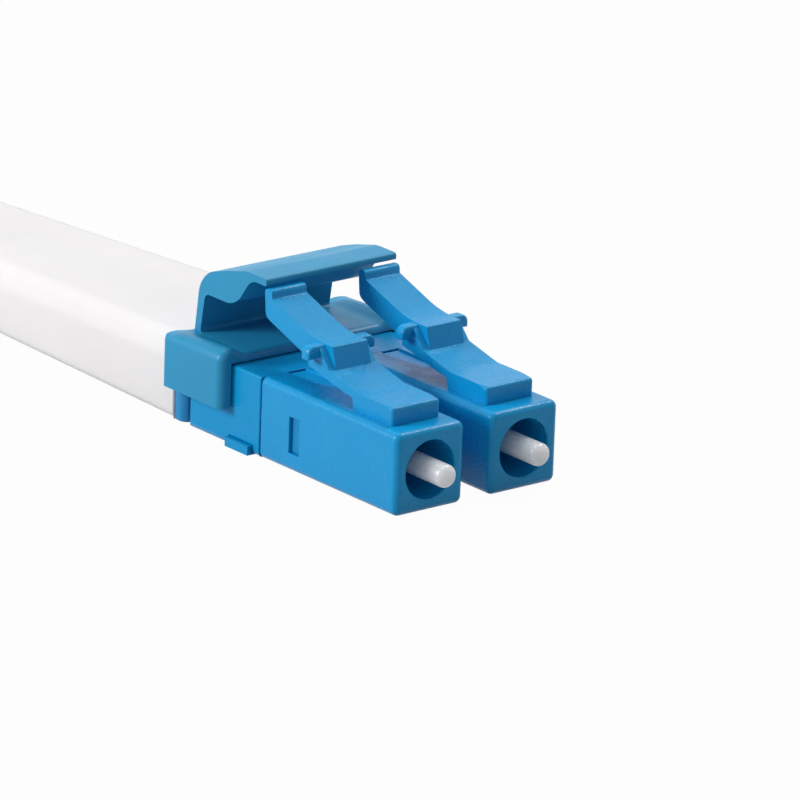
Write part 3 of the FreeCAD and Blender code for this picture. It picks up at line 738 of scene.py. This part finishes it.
@dataclass
class Latch:
    """Latch of one plug: root block, thin spring stretch, thick arm, side lugs and end bead."""

    side: Side
    arm_half: float = 1.15
    root_half: float = 1.57
    web_half: float = 1.54
    foot_z: float = past(PLUG_W, -0.08)
    root_front: float = 1.3
    root_top: float = 5.48
    step: tuple[float, float] = (6.6, 6.95)
    lug: tuple[float, float] = (7.58, 8.25)
    lug_half: float = 2.22
    lug_z: tuple[float, float] = (6.42, 7.14)
    wide_back: float = 8.4
    web_foot: float = 6.62
    level_back: float = 8.6
    bead: tuple[float, float] = (12.18, 12.78)
    bead_z: float = LATCH.top
    thin_z: float = 5.68
    thin_slope: float = 0.23
    under_z: float = 5.18
    under_slope: float = 0.2127
    arm_z: float = 6.622
    arm_slope: float = 0.34
    arm_depth: float = 1.267
    root_back: tuple[float, float] = (4.5, 4.3)
    thin_front: tuple[float, float] = (4.7, 4.75)
    rail_rise: tuple[float, float] = (0.2, 0.25)
    root_lead: float = 0.05
    root_r: float = 0.2
    root_top_r: float = 0.19
    root_side_r: float = 0.1
    lug_top_r: float = 0.42
    lug_side_r: float = 0.14
    bead_lead: float = 0.05
    bead_tuck: float = 0.15
    bead_r: float = 0.24
    small_r: float = 0.05
    flex: tuple[float, float] = (past(LATCH_BEND_Y, -0.7), past(LATCH_BEND_Y, 1.0))
    flex_z: float = 5.4
    bend_lines: tuple[float, float, int] = (4.6, 0.25, 7)

    def thin_top(self, y: float) -> float:
        """Return the height of the thin stretch's upper face."""
        return self.thin_z + self.thin_slope * (y - LATCH_BEND_Y)

    def top(self, y: float) -> float:
        """Return the height of the thick arm's upper face."""
        return self.arm_z + self.arm_slope * (y - self.step[1])

    def under(self, y: float) -> float:
        """Return the height of the latch's underside in front of the lugs' backs."""
        return self.under_z + self.under_slope * (y - LATCH_BEND_Y)

    def low(self, y: float) -> float:
        """Return the height of the thick arm's underside behind the lugs."""
        return self.top(y) - self.arm_depth

    def build(self) -> bpy.types.Object:
        """Make the latch, with lines of vertices where it would bend between its root and its arm.

        Returns:
            The finished piece.
        """
        latch = self._root()
        latch.weld(self._web(), self._lugs(), self._arm())
        x = self.side.axis_x
        latch.soften([
            (lambda m, d: near(m.z, self.foot_z, 0.02), 0.0),
            (lambda m, d: m.y < self.root_back[1] + 0.1 and m.z > self.root_top - 0.48
             and abs(m.x - x) > self.root_half - 0.07, self.root_side_r),
            (lambda m, d: near(m.y, self.step[0], 0.01) and abs(d.x) > 0.9, 0.0),
        ], self.small_r, segments=3)
        first, gap, lines = self.bend_lines
        latch.slice([first + gap * i for i in range(lines)], (0.0, 1.0, 0.0))
        piece = latch.settle(PLUG_BLUE, "plug_blue")
        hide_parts(self.side.node("latch_arm"))
        self.side.node("latch")
        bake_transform(piece)
        return piece

    def _root(self) -> Bench:
        """Make the root block, the thin stretch and the side rails under the lugs.

        Returns:
            The mesh that the other parts are welded to.
        """
        foot, _ = self.step
        back = self.wide_back
        rail = self.thin_top(foot) + self.rail_rise[0] + self.rail_rise[1]
        under = self.under(LATCH_BEND_Y)
        low, high = self.thin_front
        base = Bench.bar(self.side.node("latch"), self.root_half, self.side.axis_x, [
            ((self.root_front + self.root_lead, self.foot_z),
             (self.root_front + self.root_lead, self.root_top)),
            ((self.root_back[0], self.foot_z), (self.root_back[1], self.root_top)),
            ((low, under), (high, self.thin_top(high))),
            ((LATCH_BEND_Y, under), (LATCH_BEND_Y, self.thin_top(LATCH_BEND_Y))),
            ((foot, self.under(foot)), (foot, self.thin_top(foot))),
            ((back, self.under(back)), (back, rail)),
        ], self.root_lead)
        base.round_over(self.root_r, lambda m, d: near(m.y, self.root_front)
                        and abs(d.z) > 0.99, 4)
        base.round_over(self.root_top_r, lambda m, d: near(m.z, self.root_top)
                        and m.y < self.root_front + 0.25 and abs(d.y) < 0.99)
        base.round_corners([(low, under, self.root_r)])
        return base

    def _web(self) -> Bench:
        """Make the ramps between the lugs and the arm's flanks.

        Returns:
            One mesh across the arm.
        """
        front, back = self.lug
        foot = self.web_foot
        lift = 0.03
        crest = self.lug_z[1] - 0.12
        web = Bench.bar("web", self.web_half, self.side.axis_x, [
            ((foot - 0.3, self.under(foot) + 0.1), (foot - 0.3, self.thin_top(foot) - 0.12)),
            ((foot, self.under(foot) + 0.1), (foot, self.thin_top(foot) - 0.03)),
            ((front, self.under(front) + lift), (front, crest)),
            ((back - 0.05, self.under(back - 0.05) + lift), (back - 0.05, crest)),
        ])
        web.round_corners([(foot, self.thin_top(foot) - 0.03, 0.3)])
        return web

    def _lugs(self) -> Bench:
        """Make the two side lugs.

        Returns:
            One block across the arm.
        """
        x = self.side.axis_x
        front, back = self.lug
        low, high = self.lug_z
        lugs = Bench.block("lugs", (x - self.lug_half, front, low), (x + self.lug_half, back, high))
        lugs.round_over(self.lug_top_r, lambda m, d: abs(d.y) > 0.99 and near(m.z, high), 8)
        lugs.round_over(self.lug_side_r, lambda m, d: near(m.y, front) or near(m.y, back), 4)
        return lugs

    def _arm(self) -> Bench:
        """Make the thick arm with its bead.

        Returns:
            The arm, up to its end.
        """
        foot, crest = self.step
        back = self.wide_back + 0.1
        bead_front, end = self.bead
        neck = bead_front - self.bead_lead
        tuck = end - self.bead_tuck
        lift = 0.02
        level = self.top(self.level_back)
        arm = Bench.bar("arm", self.arm_half, self.side.axis_x, [
            ((6.3, self.under(6.3) + lift), (6.3, self.thin_top(6.3) - lift)),
            ((foot, self.under(foot) + lift), (foot, self.thin_top(foot))),
            ((crest, self.under(crest) + lift), (crest, level)),
            ((back - 0.05, self.under(back - 0.05) + lift), (self.level_back, level)),
            ((back + 0.1, self.low(back + 0.1)), (back + 1.2, self.top(back + 1.2))),
            ((neck, self.low(neck)), (neck, self.top(neck))),
            ((bead_front, self.low(bead_front)), (bead_front, self.bead_z)),
            ((tuck, self.low(end)), (end, self.bead_z)),
        ])
        arm.round_corners([
            (crest, level, 0.09),
            (self.level_back, level, 6.0),
            (neck, self.top(neck), 0.1),
            (bead_front, self.bead_z, self.bead_r),
            (end, self.bead_z, self.bead_r),
            (tuck, self.low(end), 0.4),
        ])
        return arm


@dataclass
class Ferrule:
    """White ceramic ferrule with the end of its fibre polished flush."""

    side: Side
    radius: float = 0.625
    root_r: float = 0.45
    tip_y: float = FERRULE.front
    shoulder_y: float = past(FERRULE.back, -1.5)
    back_y: float = FERRULE.back
    fibre_r: float = 0.0625
    polish: float = 0.004
    tip_r: float = 0.34
    back_r: float = 0.04
    axis_z: float = PLUG_Z

    def build(self) -> bpy.types.Object:
        """Make the ferrule, which rides on the sliding ferrule unit.

        Returns:
            The finished piece.
        """
        x = self.side.axis_x
        rod = Bench.rod(self.side.node("ferrule_rod"), x, self.axis_z, self.radius,
                        self.tip_y, self.shoulder_y)
        for way, radius, depth in ((-1, self.fibre_r, -self.polish),
                                   (1, self.root_r, self.back_y - self.shoulder_y)):
            rod.pick(Part.FACE, lambda m, n: n.y * way > 0.9)
            bpy.ops.mesh.inset(thickness=self.radius - radius)
            rod.extrude((0.0, way * depth, 0.0))
        rod.soften([
            (lambda m, d: near(m.y, self.tip_y)
             and math.hypot(m.x - x, m.z - self.axis_z) > self.radius - 0.01, self.tip_r),
            (lambda m, d: math.hypot(m.x - x, m.z - self.axis_z) < self.fibre_r + 0.01, 0.0),
        ], self.back_r, segments=8)
        piece = rod.settle(ZIRCONIA, "zirconia")
        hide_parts(self.side.node("ferrule"))
        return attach(piece, self.side.node("ferrule_unit"))


# ---- Housing, collar and boot -----------------------------------------------------------------
@dataclass
class Housing:
    """Housing body that holds the two plugs, with the notches of the bottom plate's lugs."""

    half_w: float = HOUSING.right
    front: float = HOUSING.front
    back: float = HOUSING_BACK
    top: float = HOUSING.top
    end_wall: float = 0.8
    side_wall: float = 0.5
    roof: float = 0.5
    neck_r: float = 1.35
    post_r: float = 1.3
    axis_z: float = PLUG_Z
    cable_z: float = CABLE_Z
    notch: tuple[float, float, float] = (
        past(HOUSING.front, 0.55), past(HOUSING.front, 2.6), 0.55)
    foot_r: float = 0.35
    top_r: float = 0.15
    back_r: float = 0.2
    front_r: float = 0.1
    small_r: float = 0.05
    margin: float = 1.0

    def build(self) -> bpy.types.Object:
        """Make the housing body.

        Returns:
            The finished piece.
        """
        body = Bench.block("housing_moulding", (-self.half_w, self.front, 0),
                           (self.half_w, self.back, self.top))
        room_x = self.half_w - self.side_wall
        room_front = self.front + self.end_wall
        room_back = self.back - self.end_wall
        body.cut(Bench.block("room", (-room_x, room_front, -self.margin),
                             (room_x, room_back, self.top - self.roof)))
        for side in Side:
            x = side.axis_x
            body.cut(Bench.block("slot", (x - self.neck_r, self.front - self.margin, -self.margin),
                                 (x + self.neck_r, room_front + 0.2, self.axis_z)),
                     Bench.rod("slot_end", x, self.axis_z, self.neck_r,
                               self.front - self.margin, room_front + 0.2, 48))
        body.cut(Bench.block("post_slot", (-self.post_r, room_back - 0.2, -self.margin),
                             (self.post_r, self.back + self.margin, self.cable_z)),
                 Bench.rod("post_slot_end", 0.0, self.cable_z, self.post_r, room_back - 0.2,
                           self.back + self.margin, 48))
        y0, y1, z1 = self.notch
        for way in (-1, 1):
            xs = sorted((way * (room_x - 0.3), way * (self.half_w + self.margin)))
            body.cut(Bench.block("lug_notch", (xs[0], y0, -self.margin), (xs[1], y1, z1)))
        body.soften([
            (lambda m, d: abs(d.y) > 0.9 and near(abs(m.x), self.half_w) and near(m.z, 0),
             self.foot_r),
            (lambda m, d: abs(d.y) > 0.9 and near(abs(m.x), self.half_w) and near(m.z, self.top),
             self.top_r),
            (lambda m, d: near(m.y, self.back) and near(abs(m.x), self.half_w), self.back_r),
            (lambda m, d: near(m.y, self.front) and near(abs(m.x), self.half_w), self.front_r),
            (lambda m, d: abs(m.x) < room_x - 0.01 and m.z < self.top - 0.1, 0.0),
        ], self.small_r)
        piece = body.settle(HOUSING_BLUE, "housing_blue")
        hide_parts("housing_body")
        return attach(piece, "housing")


@dataclass
class CollarRing:
    """Ring between the housing and the boot, with half-round posts at its two ends."""

    half_w: float = past(HOUSING.right, -0.075)
    front: float = past(HOUSING_BACK, 0.4)
    back: float = past(BOOT_FRONT, -0.02)
    top: float = COLLAR.top
    hub_r: float = 1.85
    hub_front: float = past(HOUSING_BACK, 0.04)
    bore_r: float = 1.3
    cable_z: float = CABLE_Z
    front_r: float = 0.55
    back_r: float = 0.2
    flat_r: float = 0.15
    small_r: float = 0.04

    def build(self) -> bpy.types.Object:
        """Make the ring.

        Returns:
            The finished piece.
        """
        ring = Bench.block("collar_ring", (-self.half_w, self.front, 0),
                           (self.half_w, self.back, self.top))
        for end, radius in ((self.front, self.front_r), (self.back, self.back_r)):
            ring.round_over(radius, lambda m, d: abs(d.z) > 0.9 and near(m.y, end), 8)
        ring.round_over(self.flat_r, lambda m, d: near(m.z, self.top) or near(m.z, 0))
        ring.weld(Bench.rod("hub", 0.0, self.cable_z, self.hub_r, self.hub_front,
                            self.front + 0.3))
        ring.cut(Bench.rod("bore", 0.0, self.cable_z, self.bore_r, self.hub_front - 1.0,
                           self.back + 1.0))
        ring.soften([], self.small_r)
        piece = ring.settle(COLLAR_BLUE, "collar_blue")
        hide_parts("rear_collar")
        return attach(piece, "housing")


@dataclass
class CableBoot:
    """Flat tapering boot, flat underneath, with its top falling to the cable end."""

    front: float = BOOT_FRONT
    middle: float = past(BOOT.back, -9.0)
    back: float = BOOT.back
    front_half: tuple[float, float] = (past(BOOT.right, 0.01), BOOT.top)
    middle_half: tuple[float, float] = (4.3, 3.46)
    back_half: tuple[float, float] = (2.2, 3.5)
    back_low: float = 0.4
    cable_z: float = CABLE_Z
    cable_r: float = 1.05
    sleeve_r: float = 1.6
    sleeve_back: float = past(SLEEVE.back, 0.05)
    first_run: float = 4.0
    top_r: float = 1.3
    foot_r: float = 0.5
    front_r: float = 0.06
    back_r: float = 0.3
    hole_r: float = 0.1

    def build(self) -> bpy.types.Object:
        """Make the boot.

        Returns:
            The finished piece.
        """
        half, height = self.front_half
        boot = Bench.block("cable_boot", (-half, self.front, 0),
                           (half, self.front + self.first_run, height))
        self._run(boot, self.front + self.first_run)
        boot.cut(Bench.rod("sleeve_room", 0.0, self.cable_z, self.sleeve_r, self.front - 1.0,
                           self.sleeve_back),
                 Bench.rod("cable_hole", 0.0, self.cable_z, self.cable_r, self.sleeve_back - 0.5,
                           self.back + 1.0))
        boot.soften([
            (lambda m, d: abs(d.y) > 0.8 and m.z > 3.0, self.top_r),
            (lambda m, d: abs(d.y) > 0.8 and m.z < 0.6, self.foot_r),
            (lambda m, d: near(m.y, self.front) and math.hypot(m.x, m.z - self.cable_z)
             > self.sleeve_r + 0.1, self.front_r),
            (lambda m, d: near(m.y, self.back, 0.01) and math.hypot(m.x, m.z - self.cable_z)
             > self.cable_r + 0.1, self.back_r),
            (lambda m, d: near(m.y, self.back, 0.01), self.hole_r),
        ], 0.0, segments=8)
        piece = boot.settle(BOOT_WHITE, "boot_white")
        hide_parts("boot")
        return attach(piece, "housing")

    def _run(self, boot: Bench, reached: float) -> None:
        """Draw the boot out to its middle and its end.

        Args:
            boot: the block that it starts with.
            reached: where that block ends.
        """
        half, height = self.front_half
        mid_half, mid_height = self.middle_half
        share = (reached - self.front) / (self.middle - self.front)
        boot.pick(Part.FACE, lambda m, n: n.y > 0.9)
        start = (half + (mid_half - half) * share, height + (mid_height - height) * share)
        boot.resize((start[0] / half, 1.0, start[1] / height), (0.0, reached, 0.0))
        boot.extrude((0.0, self.middle - reached, 0.0))
        boot.resize((mid_half / start[0], 1.0, mid_height / start[1]), (0.0, self.middle, 0.0))
        end_half, end_top = self.back_half
        boot.extrude((0.0, self.back - self.middle, self.back_low))
        boot.resize((end_half / mid_half, 1.0, (end_top - self.back_low) / mid_height),
                    (0.0, self.back, self.back_low))


# ---- Trigger ----------------------------------------------------------------------------------
@dataclass
class Trigger:
    """Clip that saddles the housing, with the riser and the lever over both latches."""

    front: float = CLIP.front
    back: float = CLIP.back
    in_x: float = past(HOUSING.right, 0.1)
    out_x: float = CLIP.right
    flap_low: float = CLIP.bottom
    under: float = past(HOUSING.top, 0.1)
    deck: float = past(HOUSING.top, 0.5)
    ridge_z: float = 5.30
    ridge_x: float = 5.3
    fall: tuple[tuple[float, float], ...] = (
        (15.5, 0.9), (16.5, 0.8), (17.3, 0.68), (17.9, 0.52), (18.3, 0.36), (18.6, 0.24))
    deck_x: float = 4.7
    lever_half: float = LEVER.right
    riser: tuple[float, float] = (18.12, 18.6)
    shoulder: Station = (18.2, 8.25)
    crest: Station = (16.0, 8.928)
    pad: tuple[float, float] = (15.17, 17.771)
    pad_z: float = 7.2
    plate_back: tuple[float, float] = (13.87, 14.25)
    plate_end: float = LEVER.front
    plate_low: float = 8.97
    plate_top: float = past(LEVER.top, -0.11)
    bend: tuple[float, float] = (past(LEVER_BEND_Z, -0.4), past(LEVER_BEND_Z, 0.6))
    bend_y: float = 18.2
    bend_lines: tuple[float, float, int] = (5.7, 0.15, 7)
    trough_rise: float = 0.8
    trough_r: float = 0.9
    ridge_out_r: float = 0.7
    ridge_in_r: float = 0.4
    front_r: float = 0.45
    back_r: float = 0.3
    lever_r: float = 0.12
    under_r: float = 0.05
    small_r: float = 0.1
    margin: float = 1.0

    def build(self) -> bpy.types.Object:
        """Make the whole moulding, with lines of vertices low in the riser where it would bend.

        Returns:
            The finished piece.
        """
        clip = self._saddle()
        clip.weld(self._lever())
        clip.soften([
            (lambda m, d: abs(m.x) > self.lever_half - 0.01 and abs(m.x) < self.lever_half + 0.01
             and m.z > self.deck + 0.1, self.lever_r),
            (lambda m, d: near(m.z, self.under) or near(abs(m.x), self.in_x), self.under_r),
            (lambda m, d: near(abs(m.x), self.lever_half, 0.01), 0.0),
        ], self.small_r)
        first, gap, lines = self.bend_lines
        clip.slice([first + gap * i for i in range(lines)], (0.0, 0.0, 1.0))
        piece = clip.settle(CLIP_BLUE, "clip_blue")
        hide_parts("trigger_clip", "trigger_lever")
        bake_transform(piece)
        return piece

    def _saddle(self) -> Bench:
        """Make the saddle with its two flaps and its ridged deck.

        Returns:
            The saddle, whose ridges sink towards its back end.
        """
        clip = Bench.block("trigger_moulding", (-self.out_x, self.front, self.flap_low),
                           (self.out_x, self.back, self.ridge_z))
        slope = (self.ridge_x - self.deck_x) / (self.ridge_z - self.deck)
        rise = self.trough_rise
        trough = Bench.block("trough", (-self.deck_x, self.front - self.margin, self.deck),
                             (self.deck_x, self.back + self.margin, self.deck + rise))
        trough.pick(Part.FACE, lambda m, n: n.z > 0.9)
        trough.resize((1.0 + slope * rise / self.deck_x, 1.0, 1.0),
                      (0.0, (self.front + self.back) / 2, self.deck + rise))
        trough.round_over(self.trough_r, lambda m, d: abs(d.y) > 0.9 and near(m.z, self.deck))
        clip.cut(trough, Bench.block("housing_room", (-self.in_x, self.front - self.margin, 0.0),
                                     (self.in_x, self.back + self.margin, self.under)))
        clip.merge_flats()
        clip.round_over(self.ridge_out_r, lambda m, d: abs(d.y) > 0.9
                        and near(abs(m.x), self.out_x) and m.z > self.deck, 8)
        clip.round_over(self.ridge_in_r, lambda m, d: abs(d.y) > 0.9 and m.z > self.deck + 0.1
                        and self.deck_x < abs(m.x) < self.ridge_x)
        for end, radius in ((self.front, self.front_r), (self.back, self.back_r)):
            clip.round_over(radius, lambda m, d: near(m.y, end)
                            and (abs(m.x) > self.in_x + 0.01 or m.z > self.under + 0.01)
                            and not near(m.z, self.flap_low))
        clip.slice([y for y, _ in self.fall], (0.0, 1.0, 0.0))
        ends = [y for y, _ in self.fall[1:]] + [self.back + self.margin]
        for (y, share), end in zip(self.fall, ends):
            clip.pick(Part.VERT, lambda m, n: y - 0.002 < m.y < end - 0.002
                      and m.z > self.deck + 0.002)
            clip.resize((1.0, 1.0, share), (0.0, y, self.deck))
        clear_selection()
        return clip

    def _lever(self) -> Bench:
        """Make the riser, the pad and the plate.

        Returns:
            One bar across the clip.
        """
        front, back = self.riser
        sunk = self.deck - 0.01
        bar = Bench.bar("riser", self.lever_half, 0.0, [
            ((front - 1.7, self.deck - 0.2), (back, self.deck - 0.2)),
            ((front - 1.7, sunk), (back, sunk)),
            ((front, sunk + 0.01), (back, sunk + 0.01)),
            ((self.pad[1], self.pad_z), self.shoulder),
            ((self.pad[0], self.pad_z), self.crest),
            ((self.plate_back[0], self.plate_low), (self.plate_back[1], self.plate_top)),
            ((self.plate_end, self.plate_low), (self.plate_end, self.plate_top)),
        ])
        bar.round_corners([
            (front, sunk + 0.01, 0.2),
            (*self.shoulder, 1.7),
            (self.plate_back[1], self.plate_top, 2.0),
            (self.pad[1], self.pad_z, 0.4),
            (self.pad[0], self.pad_z, 1.5),
            (self.plate_back[0], self.plate_low, 0.9),
            (self.plate_end, self.plate_low, 0.12),
            (self.plate_end, self.plate_top, 0.16),
        ], segments=10)
        return bar


# ---- Pieces that keep their solids ------------------------------------------------------------
@dataclass
class CarriedNodes:
    """Solids of the frame that are shown as they are, with their own finishes."""

    finishes: dict[str, Finish] = field(default_factory=lambda: {
        "ferrule_flange": STEEL,
        "guide_tube": TUBE_WHITE,
        "ferrule_spring": SPRING_STEEL,
        "spring_stop": INNER_BLUE,
        "housing_bottom": HOUSING_BLUE,
        "crimp_body": STEEL,
        "crimp_sleeve": SLEEVE_METAL,
    })

    def dress(self) -> None:
        """Give each of these solids its finish."""
        for name, node in frame["nodes"].items():
            key = name.split("_", 1)[1] if name.startswith(("left_", "right_")) else name
            finish = self.finishes.get(key)
            if finish is None:
                continue
            for slot in node.material_slots:
                slot.material = finish.build()
            LOG.info("%s dressed with %s", name, finish.name)


# ---- Studio -----------------------------------------------------------------------------------
@dataclass
class Studio:
    """Camera, lamps, white surroundings and floor."""

    azimuth: float = -39.26
    elevation: float = 18.43
    roll: float = -2.02
    distance: float = 400.0
    lens: float = 347.922
    film: float = 36.0
    aim: Point = (0.0, 0.0, 2.0)
    aim_shift: tuple[float, float] = (0.096875, -0.079375)
    lamp_aim: Point = (0.0, 8.0, 3.0)
    floor_drop: float = 0.03
    floor_size: float = 6.0
    floor_glow: float = 0.97
    world_light: float = 0.29
    lamps: dict[str, tuple[Point, float, float]] = field(default_factory=lambda: {
        "lamp_left": ((-205.0, 110.0, 105.0), 100.0, 0.45),
        "lamp_top": ((10.0, 70.0, 245.0), 120.0, 0.125),
        "lamp_right": ((150.0, 20.0, 203.0), 45.0, 0.24),
    })

    def camera(self) -> None:
        """Set the camera where the connector is seen from its front left."""
        a, e, r = (math.radians(v) for v in (self.azimuth, self.elevation, self.roll))
        back = Vector((math.sin(a) * math.cos(e), -math.cos(a) * math.cos(e), math.sin(e)))
        right = Vector((math.cos(a), math.sin(a), 0.0))
        up = back.cross(right)
        right, up = (right * math.cos(r) - up * math.sin(r), right * math.sin(r) + up * math.cos(r))
        off_x, off_y = (share * self.film / self.lens * self.distance * MM
                        for share in self.aim_shift)
        place = to_scene(self.aim) + back * self.distance * MM - right * off_x - up * off_y
        data = bpy.data.cameras.new("camera")
        data.sensor_width = self.film
        data.lens = self.lens
        data.clip_start = 0.01
        data.clip_end = 10.0
        camera = bpy.data.objects.new("camera", data)
        turn = Matrix((right, up, back)).transposed().to_4x4()
        camera.matrix_world = Matrix.Translation(place) @ turn
        bpy.context.scene.collection.objects.link(camera)
        bpy.context.scene.camera = camera

    def light(self) -> None:
        """Add the soft lamps, each aimed at the plugs."""
        aim = to_scene(self.lamp_aim)
        for name, (place, size, power) in self.lamps.items():
            data = bpy.data.lights.new(name, "AREA")
            data.shape = "DISK"
            data.size = size * MM
            data.energy = power
            lamp = bpy.data.objects.new(name, data)
            spot = to_scene(place)
            turn = (spot - aim).to_track_quat("Z", "Y").to_matrix().to_4x4()
            lamp.matrix_world = Matrix.Translation(spot) @ turn
            bpy.context.scene.collection.objects.link(lamp)

    def surroundings(self) -> None:
        """Make the world white to the camera and an even soft light to the rest."""
        world = bpy.data.worlds.new("white_room")
        world.use_nodes = True
        bpy.context.scene.world = world
        tree = world.node_tree
        tree.nodes.clear()
        out = tree.nodes.new("ShaderNodeOutputWorld")
        mix = tree.nodes.new("ShaderNodeMixShader")
        soft = tree.nodes.new("ShaderNodeBackground")
        soft.inputs["Color"].default_value = (1.0, 1.0, 1.0, 1.0)
        soft.inputs["Strength"].default_value = self.world_light
        white = tree.nodes.new("ShaderNodeBackground")
        white.inputs["Color"].default_value = (1.0, 1.0, 1.0, 1.0)
        white.inputs["Strength"].default_value = 1.0
        tree.links.new(self._seen(tree, 1.0), mix.inputs["Fac"])
        tree.links.new(soft.outputs["Background"], mix.inputs[1])
        tree.links.new(white.outputs["Background"], mix.inputs[2])
        tree.links.new(mix.outputs["Shader"], out.inputs["Surface"])

    def _seen(self, tree: bpy.types.NodeTree, share: float) -> bpy.types.NodeSocket:
        """Tell the rays that show the background from the others.

        Args:
            tree: node tree of the material or the world.
            share: value for the rays that show the background.

        Returns:
            A socket with that value, and 0 for other rays.
        """
        path = tree.nodes.new("ShaderNodeLightPath")
        first = tree.nodes.new("ShaderNodeMath")
        first.operation = "MAXIMUM"
        tree.links.new(path.outputs["Is Camera Ray"], first.inputs[0])
        tree.links.new(path.outputs["Is Glossy Ray"], first.inputs[1])
        second = tree.nodes.new("ShaderNodeMath")
        second.operation = "MAXIMUM"
        tree.links.new(first.outputs["Value"], second.inputs[0])
        tree.links.new(path.outputs["Is Transmission Ray"], second.inputs[1])
        scaled = tree.nodes.new("ShaderNodeMath")
        scaled.operation = "MULTIPLY"
        scaled.inputs[1].default_value = share
        tree.links.new(second.outputs["Value"], scaled.inputs[0])
        return scaled.outputs["Value"]

    def floor(self) -> None:
        """Lay the pale floor, which keeps a faint shadow of the connector."""
        clear_selection()
        bpy.ops.mesh.primitive_plane_add(size=self.floor_size,
                                         location=(0.0, 0.0, -self.floor_drop * MM))
        floor = bpy.context.active_object
        floor.name = "floor"
        bpy.ops.object.transform_apply(location=True, rotation=True, scale=True)
        made = bpy.data.materials.new("pale_floor")
        made.use_nodes = True
        tree = made.node_tree
        tree.nodes.clear()
        out = tree.nodes.new("ShaderNodeOutputMaterial")
        mix = tree.nodes.new("ShaderNodeMixShader")
        paper = tree.nodes.new("ShaderNodeBsdfDiffuse")
        paper.inputs["Color"].default_value = (0.5, 0.5, 0.505, 1.0)
        glow = tree.nodes.new("ShaderNodeEmission")
        glow.inputs["Color"].default_value = (1.0, 1.0, 1.0, 1.0)
        glow.inputs["Strength"].default_value = 1.0
        tree.links.new(self._seen(tree, self.floor_glow), mix.inputs["Fac"])
        tree.links.new(paper.outputs["BSDF"], mix.inputs[1])
        tree.links.new(glow.outputs["Emission"], mix.inputs[2])
        tree.links.new(mix.outputs["Shader"], out.inputs["Surface"])
        floor.data.materials.append(made)

    def build(self) -> None:
        """Set up everything round the connector."""
        self.camera()
        self.light()
        self.surroundings()
        self.floor()
        settings = bpy.context.scene.view_settings
        settings.view_transform = "Standard"


def main() -> None:
    """Build the studio and every piece."""
    logging.basicConfig(level=logging.INFO, format="%(name)s: %(message)s")
    Studio().build()
    for side in Side:
        PlugShell(side).build()
        Latch(side).build()
        Ferrule(side).build()
    Housing().build()
    CollarRing().build()
    CableBoot().build()
    Trigger().build()
    CarriedNodes().dress()


if __name__ == "__main__":
    main()
